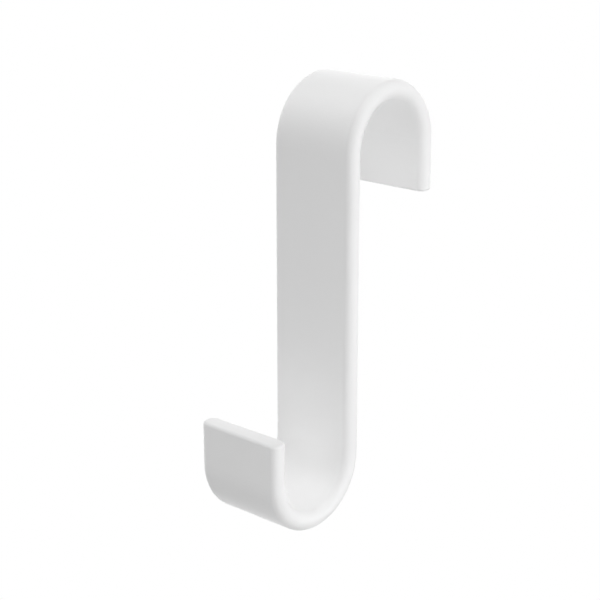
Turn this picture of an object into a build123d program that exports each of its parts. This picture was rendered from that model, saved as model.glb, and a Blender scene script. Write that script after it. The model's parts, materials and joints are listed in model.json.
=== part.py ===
"""Towel radiator hook: one moulded strip that bends twice, the opposite way each time, into an S.

The top bend drops over a radiator rail and the bottom bend carries the towel. The strip keeps one
section from end to end: a flat bar whose long edges are crowned, so that they bulge softly outwards
and run into the faces without a corner. Both tips are cut square and lightly rounded.

Frame: the rail's axis is the X axis, +Z is up, and the towel side of the hook faces -Y. The origin
lies on the rail's axis, at the middle of the strip's width. Millimetres.
"""

import os

from build123d import *

# The strip
strip_width = 26.8  # along the rail
strip_thickness = 5.2  # constant round both bends
edge_crown = 1.9  # how far the middle of each long edge bulges beyond its two rims
edge_radius = 1.4  # rounds each rim into the strip's face
tip_radius = 0.9  # rounds both tips all the way round

# The bends, measured on their inside faces
rail_radius = 12.5  # top bend, for tubes up to 25 mm across
towel_radius = 11.9  # bottom bend, where the towel hangs

# The straight runs
bend_spacing = 80.8  # from the axis of the top bend down to the axis of the bottom bend
leg_drop = 14.3  # from the rail's axis down to the tip of the leg behind the rail
lip_rise = 11.7  # from the axis of the bottom bend up to the tip of the front lip

# The strip's middle line, which runs half a thickness outside the bends' inside faces
half_thickness = strip_thickness / 2
rail_bend = rail_radius + half_thickness
towel_bend = towel_radius + half_thickness
shaft_y = -rail_bend
towel_axis_y = shaft_y - towel_bend
lip_y = towel_axis_y - towel_bend

# An arc this large spans the thickness and bulges by the crown
crown_radius = (half_thickness**2 + edge_crown**2) / (2 * edge_crown)

with BuildPart() as hook:
    # From the leg's tip over the rail, down the shaft, round under the towel and up to the lip
    with BuildLine(Plane.YZ) as middle:
        Line((rail_bend, -leg_drop), (rail_bend, 0))
        CenterArc((0, 0), rail_bend, start_angle=0, arc_size=180)
        Line((shaft_y, 0), (shaft_y, -bend_spacing))
        CenterArc((towel_axis_y, -bend_spacing), towel_bend, start_angle=0, arc_size=-180)
        Line((lip_y, -bend_spacing), (lip_y, lip_rise - bend_spacing))

    # The crowned bar, swept along the middle line
    with BuildSketch(Plane(middle.line @ 0, x_dir=(1, 0, 0), z_dir=middle.line % 0)) as section:
        Rectangle(strip_width, strip_thickness)
        SlotOverall(strip_width, 2 * crown_radius, mode=Mode.INTERSECT)
        fillet(section.vertices(), edge_radius)
    sweep(path=middle.line)

    # The two tips are the only flat faces that look along Z
    tips = hook.faces().filter_by(Axis.Z)
    fillet(tips.edges(), tip_radius)

hook.part.label = "hook"

os.makedirs("parts", exist_ok=True)
export_step(hook.part, "parts/hook.step")
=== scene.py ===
# %% [markdown]
# # Towel radiator hook
# The hook is one strip of white plastic, moulded with two bends that turn opposite ways. The upper bend
# drops over a rail of a towel radiator, and the lower bend holds the towel.
#
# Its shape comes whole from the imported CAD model. A mesh built here could only copy that exact strip, so
# this file leaves the mesh as it is. It gives the strip the finish of moulded plastic, sets it in a small
# white studio, and points a camera at it.
#
# Everything here is in metres. The rail that the hook hangs from runs along X, and +Z is up.

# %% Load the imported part
import json
import math

import bpy
from mathutils import Matrix, Vector


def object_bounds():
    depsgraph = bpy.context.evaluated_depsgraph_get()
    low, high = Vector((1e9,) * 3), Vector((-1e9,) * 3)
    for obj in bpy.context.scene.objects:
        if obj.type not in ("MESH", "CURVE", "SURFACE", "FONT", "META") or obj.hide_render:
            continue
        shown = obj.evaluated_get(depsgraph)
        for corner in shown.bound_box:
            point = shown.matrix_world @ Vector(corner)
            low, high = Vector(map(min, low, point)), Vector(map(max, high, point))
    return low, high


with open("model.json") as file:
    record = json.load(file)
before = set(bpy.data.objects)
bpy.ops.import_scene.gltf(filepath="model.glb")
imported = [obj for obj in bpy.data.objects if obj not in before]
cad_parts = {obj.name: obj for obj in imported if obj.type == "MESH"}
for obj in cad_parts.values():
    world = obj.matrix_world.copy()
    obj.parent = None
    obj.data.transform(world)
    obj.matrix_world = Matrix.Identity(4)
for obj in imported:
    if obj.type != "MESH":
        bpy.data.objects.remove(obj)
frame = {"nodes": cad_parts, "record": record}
cad_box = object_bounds()
hook = frame["nodes"]["hook"]
print("hook mesh:", len(hook.data.vertices), "points")

# %% [markdown]
# ## The camera
# A product camera stands well back behind a long lens, so that the long edges of the strip stay nearly
# parallel. A camera could be placed by hand and turned until it looks right. Two angles about one point
# say the same thing in numbers that can be read: here the point is halfway between the two bends, and
# the model's own record gives the axis of each bend.

# %% Aim between the two bends
mounts = {mount["name"]: Vector(mount["pos_m"]) for mount in frame["record"]["mounts"]}
middle = (mounts["rail_seat"] + mounts["towel_seat"]) / 2
print("middle of the hook:", tuple(round(value, 5) for value in middle))


# %% A direction from two angles
def direction(azimuth, elevation):
    """The unit vector from the hook towards a place seen at these angles, in degrees.
    Azimuth 0 is the towel side, -Y, and 90 is the +X edge of the strip."""
    a = math.radians(azimuth)
    e = math.radians(elevation)
    return Vector((math.sin(a) * math.cos(e), -math.cos(a) * math.cos(e), math.sin(e)))


print("the towel side is", tuple(direction(0, 0)))

# %% [markdown]
# The last two numbers step the camera aside without turning it, first to its own right and then up. Both
# are negative, so it steps a few millimetres left and hardly down, and the hook stands that little to the
# right of the middle of the frame.

# %% Make the camera
CAMERA_AZIMUTH = 41.22
CAMERA_ELEVATION = 17.98
CAMERA_DISTANCE = 0.4007
LENS = 90.4  # millimetres, on the usual 36 mm sensor
NEAREST_SEEN = 0.01
SIDESTEP = (-0.00471, -0.00020)

back = direction(CAMERA_AZIMUTH, CAMERA_ELEVATION)
right = Vector((0, 0, 1)).cross(back).normalized()
axes = Matrix((right, back.cross(right), back)).transposed()

camera_data = bpy.data.cameras.new("camera")
camera_data.lens = LENS
camera_data.clip_start = NEAREST_SEEN
camera = bpy.data.objects.new("camera", camera_data)
bpy.context.collection.objects.link(camera)
place = middle + axes @ Vector((*SIDESTEP, CAMERA_DISTANCE))
camera.matrix_world = Matrix.Translation(place) @ axes.to_4x4()
bpy.context.scene.camera = camera
print("camera at", tuple(round(value, 3) for value in place))

# %% [markdown]
# ## Writing shader maths
# A material is a network of nodes, and sums made of Math nodes are hard to read when they are wired by
# hand. The small class below wraps one output socket, so that an expression such as `1 - mask * 0.2` adds
# the Math nodes for it. Any other node comes from one method, `Shader.node`, which takes the node's type,
# then its settings, then the values or links of its sockets.


# %% Sockets that can be added and multiplied
class Value:
    """One output socket of a node tree. A sum written with it adds Math nodes."""

    def __init__(self, shader, socket):
        self.shader = shader
        self.socket = socket

    def __add__(self, other):
        return self.shader.maths("ADD", self, other)

    def __sub__(self, other):
        return self.shader.maths("SUBTRACT", self, other)

    def __mul__(self, other):
        return self.shader.maths("MULTIPLY", self, other)

    def __rsub__(self, other):
        return self.shader.maths("SUBTRACT", other, self)

    __radd__ = __add__
    __rmul__ = __mul__


print("values ready")


# %% A node tree that is written from top to bottom
class Shader:
    """Adds nodes to one emptied node tree."""

    def __init__(self, tree):
        self.tree = tree
        tree.nodes.clear()

    def node(self, kind, settings=None, inputs=None, output=0):
        """A new node, as the chosen one of its outputs."""
        node = self.tree.nodes.new(kind)
        for name, value in (settings or {}).items():
            setattr(node, name, value)
        for name, value in (inputs or {}).items():
            if isinstance(value, Value):
                self.tree.links.new(value.socket, node.inputs[name])
            else:
                node.inputs[name].default_value = value
        return Value(self, node.outputs[output]) if node.outputs else None

    def maths(self, operation, *numbers):
        return self.node("ShaderNodeMath", {"operation": operation}, dict(enumerate(numbers)))


print("shaders ready")

# %% [markdown]
# ## White moulded plastic
# A steel mould leaves two things on a plastic part. Its walls are finished with sparks, and they print a
# very fine, soft grain. The melt also presses against them harder in some places than in others, so the
# sheen is not quite even.
#
# The grain could be carved into the mesh, but it is only about a hundredth of a millimetre deep and would
# take millions of points. A bump tilts the surface in the shading alone, which is all that shows of it.
# The noise behind it stays near its middle value, so it uses only about a third of the depth it is given.
#
# The patches of sheen could be painted as a picture and wrapped round the strip. Noise that fills the
# space around it needs no wrapping, and has no seam where the strip's faces meet.


# %% The grain from the mould's walls
GRAIN_SIZE = 0.00028
GRAIN_DEPTH = 0.00003
GRAIN_DETAIL = 2.0
NOISE_SWING = 1 / 3  # the share of 0 to 1 that the noise uses


def mould_grain(shader, place):
    """The normal of a face with the mould's grain on it."""
    grain = shader.node(
        "ShaderNodeTexNoise",
        None,
        {"Vector": place, "Scale": 1 / GRAIN_SIZE, "Detail": GRAIN_DETAIL},
    )
    return shader.node("ShaderNodeBump", None, {"Height": grain, "Distance": GRAIN_DEPTH})


print("grain:", GRAIN_SIZE * 1000, "mm across,", round(GRAIN_DEPTH * NOISE_SWING * 1000, 3), "mm deep")

# %% The sheen, which varies from patch to patch
ROUGHNESS = 0.5
SHEEN_PATCH = 0.004
SHEEN_DETAIL = 3.0
SHEEN_CHANGE = 0.15
NOISE_MIDDLE = 0.5


def uneven_sheen(shader, place):
    """The roughness, which wanders a little about its usual value."""
    patches = shader.node(
        "ShaderNodeTexNoise",
        None,
        {"Vector": place, "Scale": 1 / SHEEN_PATCH, "Detail": SHEEN_DETAIL},
    )
    return ROUGHNESS + (patches - NOISE_MIDDLE) * SHEEN_CHANGE


print("sheen patches:", SHEEN_PATCH * 1000, "mm across")

# %% [markdown]
# The colour itself is the same all over, because the pigment is mixed into the melt before it is moulded,
# so it is one plain value and not a pattern. It is a bright white, and that matters inside each bend,
# where the light goes back and forth between the faces and lifts the shade.

# %% The plastic
WHITE = (0.93, 0.93, 0.93, 1)
PLASTIC_IOR = 1.5


def moulded_plastic():
    material = bpy.data.materials.new("white_moulded_plastic")
    material.use_nodes = True
    shader = Shader(material.node_tree)
    place = shader.node("ShaderNodeTexCoord", output="Object")
    plastic = shader.node(
        "ShaderNodeBsdfPrincipled",
        None,
        {
            "Base Color": WHITE,
            "Roughness": uneven_sheen(shader, place),
            "IOR": PLASTIC_IOR,
            "Normal": mould_grain(shader, place),
        },
    )
    shader.node("ShaderNodeOutputMaterial", None, {"Surface": plastic})
    return material


hook.material_slots[0].material = moulded_plastic()
print("finish:", hook.material_slots[0].material.name)

# %% [markdown]
# ## The floor and the white background
# A towel radiator holds its hooks about a metre above the floor, so the floor lies well below, and the
# faint shadow falls on it there. A backdrop could be lit until it turns white, but that light would reach
# the hook too and wash it out. So the floor is pale paint to the light that bounces between it and the
# hook, and only what the camera sees of it is lifted to white: near the shadow by a glow on top of the
# paint, which keeps the shadow, and further out by a glow alone. The sky beyond is the same white.

# %% White for the camera alone
PLAIN_WHITE = (1, 1, 1, 1)
FULL_STRENGTH = 1.0  # shows as white
CAMERA_RAYS = ("Is Camera Ray", "Is Glossy Ray", "Is Transmission Ray")


def white_to_camera(shader):
    """1 on rays from the camera and on mirror or glass rays, and 0 on the rays that light the hook."""
    camera, mirror, glass = (shader.node("ShaderNodeLightPath", output=name) for name in CAMERA_RAYS)
    return shader.maths("MINIMUM", camera + mirror + glass, 1.0)


print("rays that see white:", ", ".join(CAMERA_RAYS))

# %% The floor's paint
PALE_PAINT = (0.85, 0.85, 0.85, 1)
FLOOR_LIFT = 0.66
SHADOW_RADIUS = 0.7


def floor_paint():
    material = bpy.data.materials.new("studio_floor")
    material.use_nodes = True
    shader = Shader(material.node_tree)
    place = shader.node("ShaderNodeTexCoord", output="Object")
    reach = shader.node("ShaderNodeVectorMath", {"operation": "LENGTH"}, {0: place}, output="Value")
    beyond = shader.node(
        "ShaderNodeMapRange",
        {"interpolation_type": "SMOOTHSTEP"},
        {"Value": reach, "From Min": SHADOW_RADIUS / 2, "From Max": SHADOW_RADIUS},
    )
    paint = shader.node("ShaderNodeBsdfDiffuse", None, {"Color": PALE_PAINT})
    lift = shader.node("ShaderNodeEmission", None, {"Color": PLAIN_WHITE, "Strength": FLOOR_LIFT})
    lifted = shader.node("ShaderNodeAddShader", None, {0: paint, 1: lift})
    glow = shader.node("ShaderNodeEmission", None, {"Color": PLAIN_WHITE, "Strength": FULL_STRENGTH})
    shown = shader.node("ShaderNodeMixShader", None, {0: beyond, 1: lifted, 2: glow})
    mixed = shader.node("ShaderNodeMixShader", None, {0: white_to_camera(shader), 1: paint, 2: shown})
    shader.node("ShaderNodeOutputMaterial", None, {"Surface": mixed})
    return material


print("shadow kept within", SHADOW_RADIUS, "m")

# %% Lay the floor
FLOOR_DROP = 0.9
FLOOR_RADIUS = 6.0
FLOOR_CORNERS = 64

bpy.ops.mesh.primitive_circle_add(vertices=FLOOR_CORNERS, radius=FLOOR_RADIUS, fill_type="NGON")
floor = bpy.context.object
floor.name = "studio_floor"
floor.location = (middle.x, middle.y, cad_box[0].z - FLOOR_DROP)
floor.data.materials.append(floor_paint())
print("floor at", round(floor.location.z, 3), "m")

# %% The sky beyond the floor
SKY_LIGHT = 0.26

world = bpy.data.worlds.new("studio")
world.use_nodes = True
bpy.context.scene.world = world
sky = Shader(world.node_tree)
lit = sky.node("ShaderNodeBackground", None, {"Color": PLAIN_WHITE, "Strength": SKY_LIGHT})
seen = sky.node("ShaderNodeBackground", None, {"Color": PLAIN_WHITE, "Strength": FULL_STRENGTH})
both = sky.node("ShaderNodeMixShader", None, {0: white_to_camera(sky), 1: lit, 2: seen})
sky.node("ShaderNodeOutputWorld", None, {"Surface": both})
print("sky light:", SKY_LIGHT)

# %% [markdown]
# ## The lamps
# White plastic shows its form only through soft changes of grey. One strong lamp beside the camera would
# flatten them, so the front face of the strip is left in half shade, and most of the light comes from
# the right, above and behind. It falls on the crowned edge, on the top of each bend and into the bowl of
# the lower bend, and draws them against the face. The lamps on the left and in front fill in the rest.
#
# Each lamp is a square softbox that faces the hook. A large one close by gives the softest shading. Light
# thins out with the square of the distance, so a lamp's strength is given as the power it would need from
# one metre away. Lamps can then be compared, and one can be moved in or out with little change to how
# brightly it lights the hook. The places and strengths come from a search through many lamps for the few
# that give the strip its greys, and are rounded.


# %% A softbox
def softbox(name, azimuth, elevation, distance, size, strength):
    """A square lamp in this direction from the hook. Angles are in degrees, lengths in metres.
    Its strength is the power in watts that it would need from one metre away."""
    data = bpy.data.lights.new(name, "AREA")
    data.size = size
    data.energy = strength * distance**2
    lamp = bpy.data.objects.new(name, data)
    bpy.context.collection.objects.link(lamp)
    towards = direction(azimuth, elevation)
    lamp.location = middle + towards * distance
    lamp.rotation_euler = towards.to_track_quat("Z", "Y").to_euler()
    return lamp


print("softbox ready")

# %% Hang the softboxes
SOFTBOXES = {  # azimuth, elevation, distance, size and strength of each
    "overhead_right": (82, 65, 0.35, 0.32, 4.5),
    "low_right": (61, -18, 0.27, 0.20, 3.2),
    "back_right": (122, -7, 0.34, 0.22, 3.4),
    "back_left": (-153, 7, 0.26, 0.28, 3.2),
    "low_back": (-131, -38, 0.58, 0.40, 1.8),
    "high_left": (-77, 38, 0.92, 0.50, 3.0),
    "low_left": (-60, -23, 0.96, 0.32, 1.4),
    "front": (-3, 8, 0.58, 0.40, 0.5),
}
for name, numbers in SOFTBOXES.items():
    lamp = softbox(name, *numbers)
    print(name, "at", tuple(round(value, 2) for value in lamp.location), round(lamp.data.energy, 2), "W")

# %% [markdown]
# ## Show the colours as written
# The Standard view transform maps a linear grey straight to the screen's grey of that brightness, and a
# strength of 1 to white. The transform that a new file has would darken and soften the whites.

# %% Colour settings
bpy.context.scene.view_settings.view_transform = "Standard"
print("view transform:", bpy.context.scene.view_settings.view_transform)
